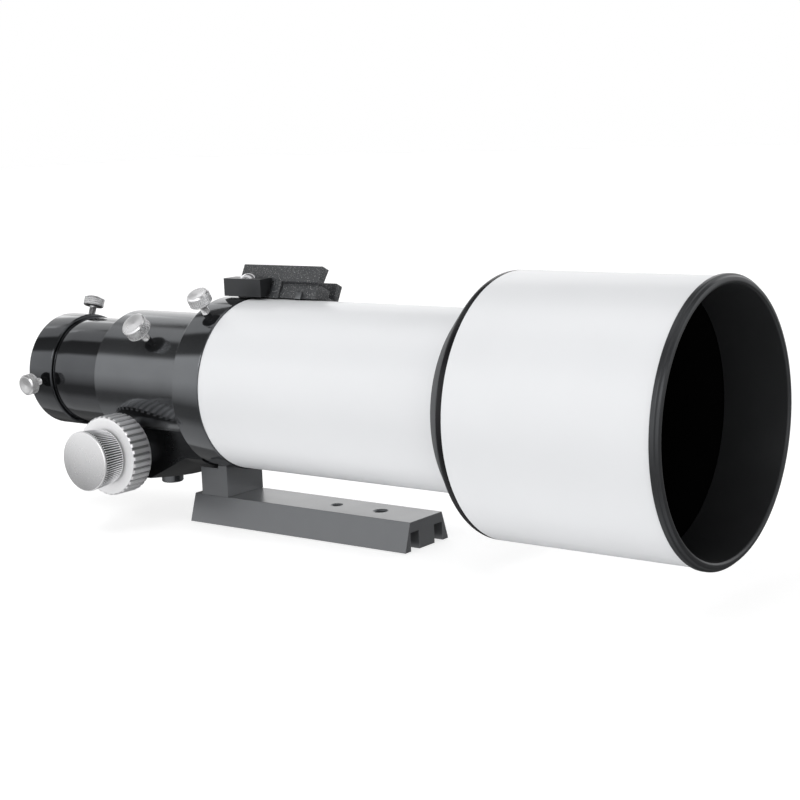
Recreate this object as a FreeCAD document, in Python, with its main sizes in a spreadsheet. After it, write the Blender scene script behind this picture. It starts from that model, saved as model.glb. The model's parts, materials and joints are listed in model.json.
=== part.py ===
import FreeCAD, Part
import math
import os
import Sketcher
from FreeCAD import Placement, Rotation, Vector

# Small refractor telescope optical tube, in millimetres.
# +X runs along the optical axis towards the front lens, +Z is up.  The origin is the centre of
# the dovetail bar's underside, and the optical axis lies at height axis_z above it.
# Stations are X positions; a name that ends in _r is a radius, _len a length along X.

SIZES = [
    ("axis_z", 73.4, "height of the optical axis above the bar's underside"),
    ("tube_rear", -35, "station of the main tube's rear edge"),
    ("tube_front", 130, "station of the main tube's front edge"),
    ("tube_r", 44, "main tube"),
    ("tube_in_r", 42, "main tube bore"),
    ("fit_gap", 0.05, "clearance of fixed and turning fits"),
    ("edge", 0.6, "small turned chamfer"),
    ("cell_r", 47, "lens cell barrel"),
    ("cell_len", 23, "lens cell barrel in front of its flange"),
    ("flange_r", 59.92, "guide flange the dew shield slides on"),
    ("flange_len", 5, "guide flange thickness"),
    ("spigot_len", 12, "lens cell spigot inside the tube"),
    ("aperture_r", 39.5, "clear radius behind the lens"),
    ("lens_r", 40.9, "lens elements"),
    ("lens_seat_r", 41, "lens seat in the cell"),
    ("seat_depth", 5.3, "lens seat's shoulder from the flange's rear face"),
    ("surface_r", 300, "radius of curvature of the lens surfaces"),
    ("crown_len", 9, "centre thickness of the two outer lens elements"),
    ("flint_len", 4, "centre thickness of the middle lens element"),
    ("lens_front", 156, "station of the front lens vertex"),
    ("air_gap", 0.5, "gap between lens vertices"),
    ("spacer_len", 0.3, "lens spacer rings"),
    ("spacer_in_r", 40.3, "bore of the lens spacer rings"),
    ("retainer_at", 153.7, "station of the retaining ring"),
    ("retainer_len", 3.4, "retaining ring"),
    ("retainer_in_r", 38.6, "retaining ring bore"),
    ("baffle_len", 6, "baffle rim"),
    ("baffle_wall", 0.8, "baffle thickness"),
    ("front_baffle_at", 72, "station of the front baffle"),
    ("front_baffle_r", 35, "front baffle's knife edge"),
    ("rear_baffle_at", 24, "station of the rear baffle"),
    ("rear_baffle_r", 31.5, "rear baffle's knife edge"),
    ("shield_rear", 127.4, "station of the dew shield tube's rear edge"),
    ("shield_r", 62.5, "dew shield tube"),
    ("shield_wall", 2, "dew shield wall"),
    ("shield_len", 102.1, "dew shield tube length"),
    ("liner_wall", 0.5, "black liner inside the dew shield"),
    ("rim_r", 63.6, "dew shield's front rim"),
    ("rim_in_r", 59.3, "front rim's opening"),
    ("rim_front", 233.6, "station of the front rim's front face"),
    ("rim_depth", 29, "front rim's length inside the shield"),
    ("rim_step", 4.1, "front rim's length outside the shield"),
    ("ring_len", 14.9, "dew shield's rear ring"),
    ("ring_band", 3, "straight band of the rear ring"),
    ("ring_rear_r", 50, "rear ring at its rear edge"),
    ("ring_bore_r", 44.4, "rear ring bore around the main tube"),
    ("felt_r", 44.08, "guide felt bore, a sliding fit on the main tube"),
    ("felt_out_r", 46, "guide felt groove"),
    ("felt_len", 6, "guide felt width"),
    ("collar_len", 18, "rear collar"),
    ("collar_r", 44.6, "rear collar"),
    ("collar_spigot_len", 10, "collar spigot inside the tube"),
    ("collar_web_r", 36, "collar bore in front of the turning ring"),
    ("collar_seat_r", 38, "collar bore around the turning ring"),
    ("collar_seat_len", 11.5, "depth of the collar's seat for the turning ring"),
    ("turn_ring_len", 11, "turning ring of the focuser"),
    ("turn_ring_in_r", 32.2, "turning ring bore"),
    ("turn_groove", 1.5, "depth and half width of the turning ring's V groove"),
    ("groove_at", 6.2, "middle of that groove from the ring's rear face"),
    ("joint_gap", 0.2, "gap between faces that turn or slide on each other"),
    ("post_len", 18.2, "mounting post along X"),
    ("post_over", 8, "height of the post's blank above the tube's underside"),
    ("post_half", 13.7, "half the mounting post's width"),
    ("post_at", -65.2, "station of the post's rear face"),
    ("sweep_r", 46.2, "space left under the turning focuser"),
    ("bar_len", 142, "dovetail bar length"),
    ("bar_top_half", 13, "half the dovetail bar's width at the top"),
    ("bar_foot_half", 17.6, "half the dovetail bar's width at the underside"),
    ("bar_edge_half", 16.9, "half width where the flank meets the foot"),
    ("bar_foot", 2.4, "height of the foot's upright edge"),
    ("bar_high", 14.3, "dovetail bar height"),
    ("slot_in", 6.2, "half width of the rib between the bar's underside slots"),
    ("slot_out", 13, "outer side of the underside slots"),
    ("slot_high", 9.2, "underside slot depth"),
    ("thread_r", 3.2, "large threaded hole in the bar"),
    ("thread_at", 43, "station of the large threaded hole"),
    ("sink_deep", 0.8, "depth of the 45 degree countersinks on the bar's top"),
    ("stop_r", 2.5, "small threaded hole in the bar"),
    ("stop_at", 15, "station of the small threaded hole"),
    ("bar_screw_r", 2, "screws from the bar into the post"),
    ("bar_screw_head_r", 3.5, "heads of the bar screws"),
    ("bar_screw_head", 4, "head height of the bar screws"),
    ("bar_screw_deep", 1.5, "how deep the bar screws' heads lie"),
    ("bar_screw_len", 16, "length of the bar screws under the head"),
    ("bar_screw_at", -60.5, "station of the rear bar screw"),
    ("bar_screw_step", 8, "distance between the bar screws"),
    ("post_screw_r", 1.5, "screws from the post into the collar"),
    ("post_screw_head_r", 2.75, "heads of the post screws"),
    ("post_screw_head", 3, "head height of the post screws"),
    ("post_screw_len", 16, "length of the post screws under the head"),
    ("post_screw_at", -50.2, "station of the post screws"),
    ("post_screw_half", 9, "half the distance between the post screws"),
    ("body_len", 66.2, "focuser body"),
    ("body_r", 34.7, "focuser body"),
    ("body_bore_r", 30.6, "focuser body bore"),
    ("keel_half", 25, "half the width of the block under the focuser body"),
    ("keel_drop", 51, "underside of that block, below the optical axis"),
    ("keel_r", 57.2, "round-off of that block's corners under the drive shaft"),
    ("keel_front_r", 45.2, "round-off of that block's corners near the collar"),
    ("keel_flat_len", 26.5, "length of that block before it tapers"),
    ("keel_taper_len", 28, "length of its taper"),
    ("shaft_at", -100.5, "station of the drive shaft"),
    ("shaft_drop", 35.6, "drive shaft below the optical axis"),
    ("shaft_r", 4, "drive shaft"),
    ("bush_r", 6, "drive shaft bushes"),
    ("bush_len", 8.3, "drive shaft bushes"),
    ("well_half", 16.5, "half the width of the well around the drive shaft"),
    ("well_len", 16, "length of that well"),
    ("well_gap", 0.5, "clearance around the pressure plate in the well"),
    ("well_drop", 46, "floor of that well, below the optical axis"),
    ("plate_high", 5.9, "pressure plate height"),
    ("knob_r", 20.9, "coarse knobs"),
    ("knob_in", 33.6, "inner face of the coarse knobs from the centre plane"),
    ("knob_out", 47.5, "outer face of the coarse knobs from the centre plane"),
    ("hub_r", 9, "hub of the coarse knobs"),
    ("hub_in", 25.6, "inner face of the hubs from the centre plane"),
    ("fine_r", 15.8, "fine knob at its outer face"),
    ("fine_rear_r", 14.4, "fine knob at its inner face"),
    ("fine_in", 48.5, "inner face of the fine knob from the centre plane"),
    ("fine_out", 63, "outer face of the fine knob from the centre plane"),
    ("fine_shaft_r", 2, "fine shaft inside the near coarse knob"),
    ("fine_shaft_in", 4, "length of the fine shaft inside that knob"),
    ("fine_cap", 3, "closed end of the fine knob"),
    ("shaft_near", 40, "near end of the drive shaft from the centre plane"),
    ("ball_r", 1.6, "reducer balls"),
    ("ball_ring_r", 6, "circle of the reducer balls"),
    ("reducer_r", 9.5, "pocket of the reducer in the near coarse knob"),
    ("reducer_len", 5, "depth of that pocket"),
    ("reducer_lid", 1, "wall between that pocket and the fine knob"),
    ("tube_travel_rear", -157, "station of the drawtube's rear edge when it is in"),
    ("draw_len", 146, "drawtube"),
    ("draw_r", 29.2, "drawtube"),
    ("draw_in_r", 27, "drawtube bore"),
    ("flat_drop", 28.7, "flat under the drawtube, below the optical axis"),
    ("strip_half", 4.5, "half the width of the steel strip on that flat"),
    ("strip_high", 2.7, "steel strip thickness"),
    ("strip_len", 132, "steel strip length"),
    ("flat_from", 8, "start of the flat from the drawtube's rear edge"),
    ("strip_from", 9, "start of the steel strip from the drawtube's rear edge"),
    ("key_gap", 0.4, "clearance around the steel strip in the focuser body"),
    ("roller_r", 2.25, "focuser rollers"),
    ("roller_len", 3.6, "focuser rollers"),
    ("roller_bore_r", 0.8, "roller bore"),
    ("roller_pin_r", 0.75, "roller axles"),
    ("roller_pin_len", 9, "roller axles"),
    ("roller_pocket_r", 2.7, "roller pockets"),
    ("roller_pocket_len", 4.4, "roller pockets"),
    ("roller_front", -77, "station of the front rollers"),
    ("roller_rear", -111, "station of the rear rollers"),
    ("roller_angle", 38, "rollers' angle from the top, each side"),
    ("holder_len", 20, "eyepiece holder"),
    ("holder_r", 30.9, "eyepiece holder"),
    ("holder_edge", 1.4, "eyepiece holder's rear chamfer"),
    ("socket_r", 25.5, "eyepiece socket for a 2 inch (50.8 mm) barrel"),
    ("holder_neck_r", 29.3, "groove between the holder and the drawtube"),
    ("holder_neck_len", 1.1, "width of that groove"),
    ("holder_spigot_len", 10, "holder spigot inside the drawtube"),
    ("brass_at", 5.5, "brass clamp ring from the holder's rear face"),
    ("brass_len", 8, "brass clamp ring"),
    ("brass_r", 26.5, "brass clamp ring"),
    ("brass_split", 2, "split of the brass clamp ring"),
    ("stem_r", 2, "stems of the thumbscrews"),
    ("hole_behind", 2, "length of a thumbscrew's hole beyond the screw's tip"),
    ("hole_len", 12, "length of a thumbscrew's hole"),
    ("holder_screw_at", -167.5, "station of the holder's thumbscrews"),
    ("holder_top_turn", -20, "angle of the upper one from the top"),
    ("holder_side_turn", 95, "angle of the lower one from the top"),
    ("holder_reach", 9.1, "stem of the holder's thumbscrews"),
    ("drawtube_lock_at", -88, "station of the drawtube lock"),
    ("drawtube_lock_turn", 46, "angle of the drawtube lock from the top"),
    ("drawtube_reach", 11.5, "stem of the drawtube lock"),
    ("rotation_lock_at", -47, "station of the rotation lock"),
    ("rotation_lock_turn", 29.5, "angle of the rotation lock from the top"),
    ("rotation_reach", 12.2, "stem of the rotation lock"),
    ("clamp_at", -28.2, "station of the finder clamp screw"),
    ("clamp_in", 1.6, "its tip from the far rail's inner edge"),
    ("clamp_high", 3.2, "its axis above the floor of the channel"),
    ("clamp_reach", 5.5, "stem of the finder clamp screw"),
    ("small_head_r", 5.75, "heads of the holder's thumbscrews and of the finder clamp screw"),
    ("small_head_len", 5.5, "length of those heads"),
    ("lock_head_r", 7, "head of the drawtube lock"),
    ("lock_head_len", 6.8, "head of the drawtube lock"),
    ("turn_head_r", 6.1, "head of the rotation lock"),
    ("turn_head_len", 6.2, "head of the rotation lock"),
    ("tension_r", 5.9, "tension screw under the focuser"),
    ("tension_len", 7, "tension screw head"),
    ("tension_reach", 5.2, "stem of the tension screw"),
    ("shoe_turn", 27, "finder shoe's angle from the top, towards +Y"),
    ("shoe_rear", -47.2, "station of the finder shoe's rear face"),
    ("shoe_len", 52.9, "finder shoe"),
    ("shoe_far_len", 43.4, "finder shoe on its far side"),
    ("shoe_near", 19.5, "outer side of the near rail from the shoe's plane"),
    ("shoe_far", 10.1, "outer side of the far rail from that plane"),
    ("shoe_low", 40, "lowest point of the finder shoe's base from the optical axis"),
    ("shoe_floor", 49, "floor of the finder shoe's channel from the optical axis"),
    ("shoe_top", 58.2, "top of the finder shoe's rails from the optical axis"),
    ("near_low", 15.6, "near side of the channel at its floor"),
    ("near_high", 14.1, "near side of the channel at the rail tops"),
    ("far_low", 6.6, "far side of the channel at its floor"),
    ("far_high", 5.1, "far side of the channel at the rail tops"),
    ("saddle_r", 44.65, "hollow under the finder shoe's base"),
    ("pad_rear", -50.4, "station of the shoe's side block"),
    ("pad_len", 25, "shoe's side block"),
    ("pad_low", 45.4, "underside of that block from the optical axis"),
    ("pad_high", 54.5, "top of that block from the optical axis"),
    ("pad_out", 4, "its outer face from the centre plane, towards -Y"),
    ("pad_in_low", 0.95, "its inner face at the underside"),
    ("pad_in_high", 5.55, "its inner face at the top"),
    ("pad_screw_r", 4.4, "round head on the side block"),
    ("pad_screw_high", 2.4, "height of that round head"),
    ("pad_dome_r", 5.2, "sphere of that round head"),
    ("pad_screw_side", 0.9, "its axis from the centre plane, towards +Y"),
    ("pad_screw_at", -37.5, "station of that round head"),
    ("shoe_screw_r", 1.5, "screws from the shoe into the collar"),
    ("shoe_screw_head_r", 2.8, "heads of those screws"),
    ("shoe_screw_head", 2.2, "height of those heads"),
    ("shoe_screw_len", 8, "length of those screws under the head"),
    ("shoe_screw_at", -43, "station of those screws"),
    ("shoe_screw_mid", 4.5, "middle of those screws from the shoe's plane, on the near side"),
    ("shoe_screw_half", 5, "half the distance between those screws"),
]

VALUES = {alias: value for alias, value, meaning in SIZES}

doc = FreeCAD.newDocument("refractor")
sheet = doc.addObject("Spreadsheet::Sheet", "sizes")
nodes = []


def fill_sheet():
    for row, (alias, value, meaning) in enumerate(SIZES, start=1):
        sheet.set(f"A{row}", meaning)
        sheet.set(f"B{row}", str(value))
        sheet.setAlias(f"B{row}", alias)
    doc.recompute()


def amount(text):
    """Value of a sum or difference of sheet names and numbers, such as "tube_r + fit_gap"."""
    total = 0.0
    sign = 1
    for word in text.split():
        if word in "+-":
            sign = 1 if word == "+" else -1
        else:
            total += sign * (VALUES[word] if word in VALUES else float(word))
            sign = 1
    return total


def bound(text):
    """The same sum as a FreeCAD expression on the spreadsheet."""
    return " ".join(f"sizes.{word}" if word in VALUES else word for word in text.split())


def bind(item, **sizes):
    for name, text in sizes.items():
        item.setExpression(name, bound(text))


def finished(item, label):
    item.Label = label
    nodes.append(item)
    return item


# ---- places -------------------------------------------------------------------------------

def at(x="0", y="0", z="0", turn=Rotation()):
    return Placement(Vector(amount(x), amount(y), amount(z)), turn)


def on_axis(x):
    return at(x, "0", "axis_z")


def around_axis(x, turn, radius):
    """Place at a radius from the optical axis, local X pointing outwards; a turn of 0 degrees is
    up and a positive one leans towards -Y."""
    angle = math.radians(amount(turn))
    out = Vector(0, -math.sin(angle), math.cos(angle))
    centre = Vector(amount(x), 0, amount("axis_z"))
    return Placement(centre + out * amount(radius), Rotation(Vector(1, 0, 0), out))


def shoe_place(x="0"):
    """Frame of the finder shoe: local Z is its normal, turned from the top towards +Y."""
    return at(x, "0", "axis_z", Rotation(Vector(1, 0, 0), -amount("shoe_turn")))


# ---- ways of making a piece ------------------------------------------------------------------

def outline(sketch, corners):
    """Closed polygon whose corners are tied to the sheet; "0" puts a corner on an axis."""
    points = [Vector(amount(x), amount(y), 0) for x, y in corners]
    for start, end in zip(points, points[1:] + points[:1]):
        sketch.addGeometry(Part.LineSegment(start, end), False)
    for index, (x, y) in enumerate(corners):
        following = (index + 1) % len(corners)
        sketch.addConstraint(Sketcher.Constraint("Coincident", index, 2, following, 1))
        for text, kind, axis in ((x, "DistanceX", -2), (y, "DistanceY", -1)):
            if text == "0":
                sketch.addConstraint(Sketcher.Constraint("PointOnObject", index, 1, axis))
            else:
                tie = sketch.addConstraint(Sketcher.Constraint(kind, -1, 1, index, 1, amount(text)))
                sketch.setExpression(f"Constraints[{tie}]", bound(text))


def sketched_body(plane, corners):
    body = doc.addObject("PartDesign::Body", "Body")
    sketch = body.newObject("Sketcher::SketchObject", "Outline")
    base = [item for item in body.Origin.OriginFeatures if item.Role == plane][0]
    sketch.AttachmentSupport = [(base, "")]
    sketch.MapMode = "FlatFace"
    outline(sketch, corners)
    return body, sketch


def turned(corners, place):
    """Solid of revolution about local X; corners are (x, radius)."""
    body, sketch = sketched_body("XY_Plane", corners)
    turn = body.newObject("PartDesign::Revolution", "Turned")
    turn.Profile = sketch
    turn.ReferenceAxis = (sketch, ["H_Axis"])
    turn.Angle = 360
    body.Tip = turn
    body.Placement = place
    return body


def sleeve(x_len, outer, inner, place):
    """Plain ring along local X."""
    return turned([("0", inner), ("0", outer), (x_len, outer), (x_len, inner)], place)


def padded(plane, corners, depth, place, middle=False):
    """Straight extrusion of an outline."""
    body, sketch = sketched_body(plane, corners)
    pad = body.newObject("PartDesign::Pad", "Pad")
    pad.Profile = sketch
    pad.setExpression("Length", bound(depth))
    pad.Midplane = middle
    body.Tip = pad
    body.Placement = place
    return body


def rod(radius, height, place, axis=Vector(1, 0, 0)):
    """Cylinder from the place's origin along its local X, or along another local axis."""
    item = doc.addObject("Part::Cylinder", "Rod")
    bind(item, Radius=radius, Height=height)
    item.Placement = place * Placement(Vector(), Rotation(Vector(0, 0, 1), axis))
    return item


def block(x_len, y_len, z_len, place):
    item = doc.addObject("Part::Box", "Block")
    bind(item, Length=x_len, Width=y_len, Height=z_len)
    item.Placement = place
    return item


def ball(radius, place):
    item = doc.addObject("Part::Sphere", "Ball")
    bind(item, Radius=radius)
    item.Placement = place
    return item


def joined(*pieces):
    if len(pieces) == 1:
        return pieces[0]
    item = doc.addObject("Part::MultiFuse", "Joined")
    item.Shapes = list(pieces)
    return item


def cut(base, *tools):
    item = doc.addObject("Part::Cut", "Cut")
    item.Base = base
    item.Tool = joined(*tools)
    return item


def common(*pieces):
    item = doc.addObject("Part::MultiCommon", "Common")
    item.Shapes = list(pieces)
    return item


def group(*pieces):
    item = doc.addObject("Part::Compound", "Group")
    item.Links = list(pieces)
    return item


# ---- main tube, lens and rear collar ----------------------------------------------------------

def main_tube():
    finished(sleeve("tube_front - tube_rear", "tube_r", "tube_in_r", on_axis("tube_rear")), "main_tube")
    for label, station, edge_r in (
        ("front_baffle", "front_baffle_at", "front_baffle_r"),
        ("rear_baffle", "rear_baffle_at", "rear_baffle_r"),
    ):
        rim = "tube_in_r - fit_gap"
        baffle = turned(
            [
                ("0", f"{rim} - baffle_wall"),
                ("0", rim),
                ("baffle_len", rim),
                ("baffle_len", edge_r),
                ("baffle_len - baffle_wall", f"{edge_r} + baffle_wall"),
                ("baffle_len - baffle_wall", f"{rim} - baffle_wall"),
            ],
            on_axis(station),
        )
        finished(baffle, label)


def lens_cell():
    spigot = "tube_in_r - fit_gap"
    front = "spigot_len + flange_len + cell_len"
    cell = turned(
        [
            ("0", "aperture_r"),
            ("0", spigot),
            ("spigot_len", spigot),
            ("spigot_len", "flange_r"),
            ("spigot_len + flange_len", "flange_r"),
            ("spigot_len + flange_len", "cell_r"),
            (f"{front} - edge", "cell_r"),
            (front, "cell_r - edge"),
            (front, "lens_seat_r"),
            ("spigot_len + seat_depth", "lens_seat_r"),
            ("spigot_len + seat_depth", "aperture_r"),
        ],
        on_axis("tube_front - spigot_len"),
    )
    finished(cell, "lens_cell")
    ring = sleeve("retainer_len", "lens_r", "retainer_in_r", on_axis("retainer_at"))
    finished(ring, "lens_retaining_ring")


def convex_lens(front_vertex):
    """Lens element between two spheres that bulge outwards."""
    rear_vertex = f"{front_vertex} - crown_len"
    return common(
        rod("lens_r", "crown_len", on_axis(rear_vertex)),
        ball("surface_r", on_axis(f"{front_vertex} - surface_r")),
        ball("surface_r", on_axis(f"{rear_vertex} + surface_r")),
    )


def concave_lens(front_vertex):
    """Lens element with both faces hollow; its rim is thicker than its centre."""
    sag = amount("surface_r") - math.sqrt(amount("surface_r") ** 2 - amount("lens_r") ** 2)
    rear_vertex = f"{front_vertex} - flint_len"
    blank = doc.addObject("Part::Cylinder", "Blank")
    bind(blank, Radius="lens_r")
    blank.Height = amount("flint_len") + 2 * sag
    blank.Placement = Placement(
        Vector(amount(rear_vertex) - sag, 0, amount("axis_z")), Rotation(Vector(0, 0, 1), Vector(1, 0, 0))
    )
    return cut(
        blank,
        ball("surface_r", on_axis(f"{front_vertex} + surface_r")),
        ball("surface_r", on_axis(f"{rear_vertex} - surface_r")),
    )


def lenses():
    middle = "lens_front - crown_len - air_gap"
    rear = f"{middle} - flint_len - air_gap"
    finished(convex_lens("lens_front"), "front_lens")
    finished(concave_lens(middle), "middle_lens")
    finished(convex_lens(rear), "rear_lens")
    sag = amount("surface_r") - math.sqrt(amount("surface_r") ** 2 - amount("lens_r") ** 2)
    for label, vertex, side in (
        ("lens_spacer_front", middle, 1),
        ("lens_spacer_rear", f"{middle} - flint_len", -1),
    ):
        spacer = sleeve("spacer_len", "lens_r", "spacer_in_r", on_axis("0"))
        middle_of_spacer = amount(vertex) + side * (sag + amount("fit_gap") + amount("spacer_len") / 2)
        spacer.Placement.Base.x = middle_of_spacer - amount("spacer_len") / 2
        finished(spacer, label)


def rear_collar():
    full = "collar_len + collar_spigot_len"
    spigot = "tube_in_r - fit_gap"
    collar = turned(
        [
            ("0", "collar_seat_r"),
            ("0", "collar_r - edge"),
            ("edge", "collar_r"),
            ("collar_len - edge", "collar_r"),
            ("collar_len", "collar_r - edge"),
            ("collar_len", spigot),
            (full, spigot),
            (full, "collar_web_r"),
            ("collar_seat_len", "collar_web_r"),
            ("collar_seat_len", "collar_seat_r"),
        ],
        on_axis("tube_rear - collar_len"),
    )
    lock_hole = screw_hole(ROTATION_LOCK)
    post_holes = [
        rod("post_screw_r", "post_screw_len", post_screw_place(side), Vector(0, 0, 1)) for side in (-1, 1)
    ]
    shoe_holes = [
        rod("shoe_screw_r", "shoe_screw_len", shoe_screw_place(side), Vector(0, 0, -1))
        for side in (-1, 1)
    ]
    finished(cut(collar, lock_hole, *post_holes, *shoe_holes), "rear_collar")


# ---- dovetail bar and post ---------------------------------------------------------------------

def bar_screw_place(index):
    place = at("bar_screw_at", "0", "bar_screw_deep + bar_screw_head")
    place.Base.x += index * amount("bar_screw_step")
    return place


def post_screw_place(side):
    place = at("post_screw_at", "0", "bar_high + post_screw_head")
    place.Base.y = side * amount("post_screw_half")
    return place


def countersink(radius, place):
    item = doc.addObject("Part::Cone", "Countersink")
    bind(item, Radius1=radius, Radius2=f"{radius} + sink_deep", Height="sink_deep")
    item.Placement = place
    return item


def dovetail_bar():
    section = [
        ("- slot_in", "slot_high"),
        ("- slot_in", "0"),
        ("slot_in", "0"),
        ("slot_in", "slot_high"),
        ("slot_out", "slot_high"),
        ("slot_out", "0"),
        ("bar_foot_half", "0"),
        ("bar_edge_half", "bar_foot"),
        ("bar_top_half", "bar_high"),
        ("- bar_top_half", "bar_high"),
        ("- bar_edge_half", "bar_foot"),
        ("- bar_foot_half", "0"),
        ("- slot_out", "0"),
        ("- slot_out", "slot_high"),
    ]
    bar = padded("YZ_Plane", section, "bar_len", at(), middle=True)
    holes = [
        rod("thread_r", "bar_high", at("thread_at"), Vector(0, 0, 1)),
        rod("stop_r", "bar_high", at("stop_at"), Vector(0, 0, 1)),
    ]
    for radius, station in (("thread_r", "thread_at"), ("stop_r", "stop_at")):
        holes.append(countersink(radius, at(station, "0", "bar_high - sink_deep")))
    for index in (0, 1):
        place = bar_screw_place(index)
        holes.append(rod("bar_screw_r + fit_gap", "bar_high", place, Vector(0, 0, 1)))
        holes.append(rod("bar_screw_head_r + fit_gap", "bar_high", place, Vector(0, 0, -1)))
    finished(cut(bar, *holes), "dovetail_bar")
    finished(group(*[cap_screw("bar_screw", bar_screw_place(index)) for index in (0, 1)]), "bar_screws")


def cap_screw(name, place):
    """Socket-head screw: stem along local +Z from the head's underside."""
    stem = rod(f"{name}_r", f"{name}_len", place, Vector(0, 0, 1))
    head = rod(f"{name}_head_r", f"{name}_head", place, Vector(0, 0, -1))
    return joined(stem, head)


def mounting_post():
    body = block("post_len", "post_half + post_half", "axis_z - bar_high - tube_in_r + post_over", at())
    body.Placement.Base = Vector(amount("post_at"), -amount("post_half"), amount("bar_high"))
    saddle = rod("collar_r + fit_gap", "post_len", on_axis("tube_rear - collar_len"))
    sweep = rod("sweep_r", "post_len", on_axis("tube_rear - collar_len - post_len"))
    holes = []
    for side in (-1, 1):
        place = post_screw_place(side)
        holes.append(rod("post_screw_r + fit_gap", "post_screw_len", place, Vector(0, 0, 1)))
        holes.append(rod("post_screw_head_r + fit_gap", "post_screw_head", place, Vector(0, 0, -1)))
    for index in (0, 1):
        holes.append(rod("bar_screw_r", "bar_screw_len", bar_screw_place(index), Vector(0, 0, 1)))
    finished(cut(body, saddle, sweep, *holes), "mounting_post")
    finished(group(*[cap_screw("post_screw", post_screw_place(side)) for side in (-1, 1)]), "post_screws")


# ---- finder shoe ---------------------------------------------------------------------------------

def shoe_screw_place(side):
    place = shoe_place("shoe_screw_at") * at("0", "- shoe_screw_mid", "shoe_floor - shoe_screw_head")
    return place * Placement(Vector(0, side * amount("shoe_screw_half"), 0), Rotation())


def finder_shoe():
    plan = [
        ("0", "- shoe_near"),
        ("shoe_len", "- shoe_near"),
        ("shoe_len", "- near_high"),
        ("shoe_far_len", "far_high"),
        ("shoe_far_len", "shoe_far"),
        ("0", "shoe_far"),
    ]
    base = padded("XY_Plane", plan, "shoe_floor - shoe_low", shoe_place("shoe_rear") * at("0", "0", "shoe_low"))
    saddle = rod("saddle_r", "shoe_len", on_axis("shoe_rear"))
    holes = []
    for side in (-1, 1):
        place = shoe_screw_place(side)
        holes.append(rod("shoe_screw_r", "shoe_screw_len", place, Vector(0, 0, -1)))
        holes.append(rod("shoe_screw_head_r + fit_gap", "shoe_screw_head", place, Vector(0, 0, 1)))
    finished(cut(base, saddle, *holes), "finder_shoe_base")
    near = [
        ("- shoe_near", "shoe_floor"),
        ("- shoe_near", "shoe_top"),
        ("- near_high", "shoe_top"),
        ("- near_low", "shoe_floor"),
    ]
    finished(padded("YZ_Plane", near, "shoe_len", shoe_place("shoe_rear")), "finder_rail_near")
    far = [
        ("shoe_far", "shoe_floor"),
        ("shoe_far", "shoe_top"),
        ("far_high", "shoe_top"),
        ("far_low", "shoe_floor"),
    ]
    far_rail = padded("YZ_Plane", far, "shoe_far_len", shoe_place("shoe_rear"))
    finished(cut(far_rail, screw_hole(SHOE_CLAMP)), "finder_rail_far")
    screws = []
    for side in (-1, 1):
        place = shoe_screw_place(side)
        screws.append(
            joined(
                rod("shoe_screw_r", "shoe_screw_len", place, Vector(0, 0, -1)),
                rod("shoe_screw_head_r", "shoe_screw_head", place, Vector(0, 0, 1)),
            )
        )
    finished(group(*screws), "finder_shoe_screws")


def shoe_side_block():
    """Smooth upright block between the near rail's leaning side and the top of the collar."""
    section = [
        ("- pad_out", "pad_low"),
        ("- pad_out", "pad_high"),
        ("pad_in_high", "pad_high"),
        ("pad_in_low", "pad_low"),
    ]
    finished(padded("YZ_Plane", section, "pad_len", on_axis("pad_rear")), "finder_side_block")
    top = at("pad_screw_at", "pad_screw_side", "axis_z + pad_high")
    middle = at("pad_screw_at", "pad_screw_side", "axis_z + pad_high + pad_screw_high - pad_dome_r")
    head = common(ball("pad_dome_r", middle), rod("pad_screw_r", "pad_screw_high", top, Vector(0, 0, 1)))
    finished(head, "finder_side_screw")


# ---- dew shield ----------------------------------------------------------------------------------

def dew_shield():
    finished(
        sleeve("shield_len", "shield_r", "shield_r - shield_wall", on_axis("shield_rear")), "dew_shield_tube"
    )
    inner = "shield_r - shield_wall"
    rim = turned(
        [
            ("0", "rim_in_r"),
            ("0", f"{inner} - fit_gap"),
            ("rim_depth - edge", f"{inner} - fit_gap"),
            ("rim_depth - edge", "rim_r"),
            ("rim_depth + rim_step - edge - edge", "rim_r"),
            ("rim_depth + rim_step - edge", "rim_r - edge"),
            ("rim_depth + rim_step - edge", "rim_in_r"),
        ],
        on_axis("rim_front - rim_depth - rim_step + edge"),
    )
    finished(rim, "dew_shield_front_rim")
    ring = turned(
        [
            ("0", "ring_bore_r"),
            ("0", "ring_rear_r"),
            ("ring_len - ring_band", "shield_r"),
            ("ring_len", "shield_r"),
            ("ring_len", "ring_bore_r"),
            ("ring_len - edge - edge", "ring_bore_r"),
            ("ring_len - edge - edge", "felt_out_r"),
            ("ring_len - edge - edge - felt_len", "felt_out_r"),
            ("ring_len - edge - edge - felt_len", "ring_bore_r"),
        ],
        on_axis("shield_rear - ring_len"),
    )
    finished(ring, "dew_shield_rear_ring")
    felt = sleeve("felt_len", "felt_out_r", "felt_r", on_axis("shield_rear - edge - edge - felt_len"))
    finished(felt, "guide_felt")
    liner = sleeve(
        "rim_front - rim_depth - rim_step + edge - shield_rear",
        inner,
        f"{inner} - liner_wall",
        on_axis("shield_rear"),
    )
    finished(liner, "dew_shield_liner")


# ---- focuser -------------------------------------------------------------------------------------

def shaft_place(y, turn):
    """Point on the drive shaft's axis; turn 1 points local X to +Y, -1 to -Y."""
    place = at("shaft_at", y, "axis_z - shaft_drop")
    place.Rotation = Rotation(Vector(1, 0, 0), Vector(0, turn, 0))
    return place


def roller_place(station, side):
    """Centre of a roller: local X runs along its axle, around the drawtube."""
    turn = "roller_angle" if side > 0 else "- roller_angle"
    place = around_axis(station, turn, "draw_r + joint_gap + roller_r")
    angle = math.radians(amount(turn))
    place.Rotation = Rotation(Vector(1, 0, 0), Vector(0, math.cos(angle), math.sin(angle)))
    return place


def centred(radius, length, place):
    """Rod with its middle at the place's origin."""
    return rod(radius, length, place * Placement(Vector(-amount(length) / 2, 0, 0), Rotation()))


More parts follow.
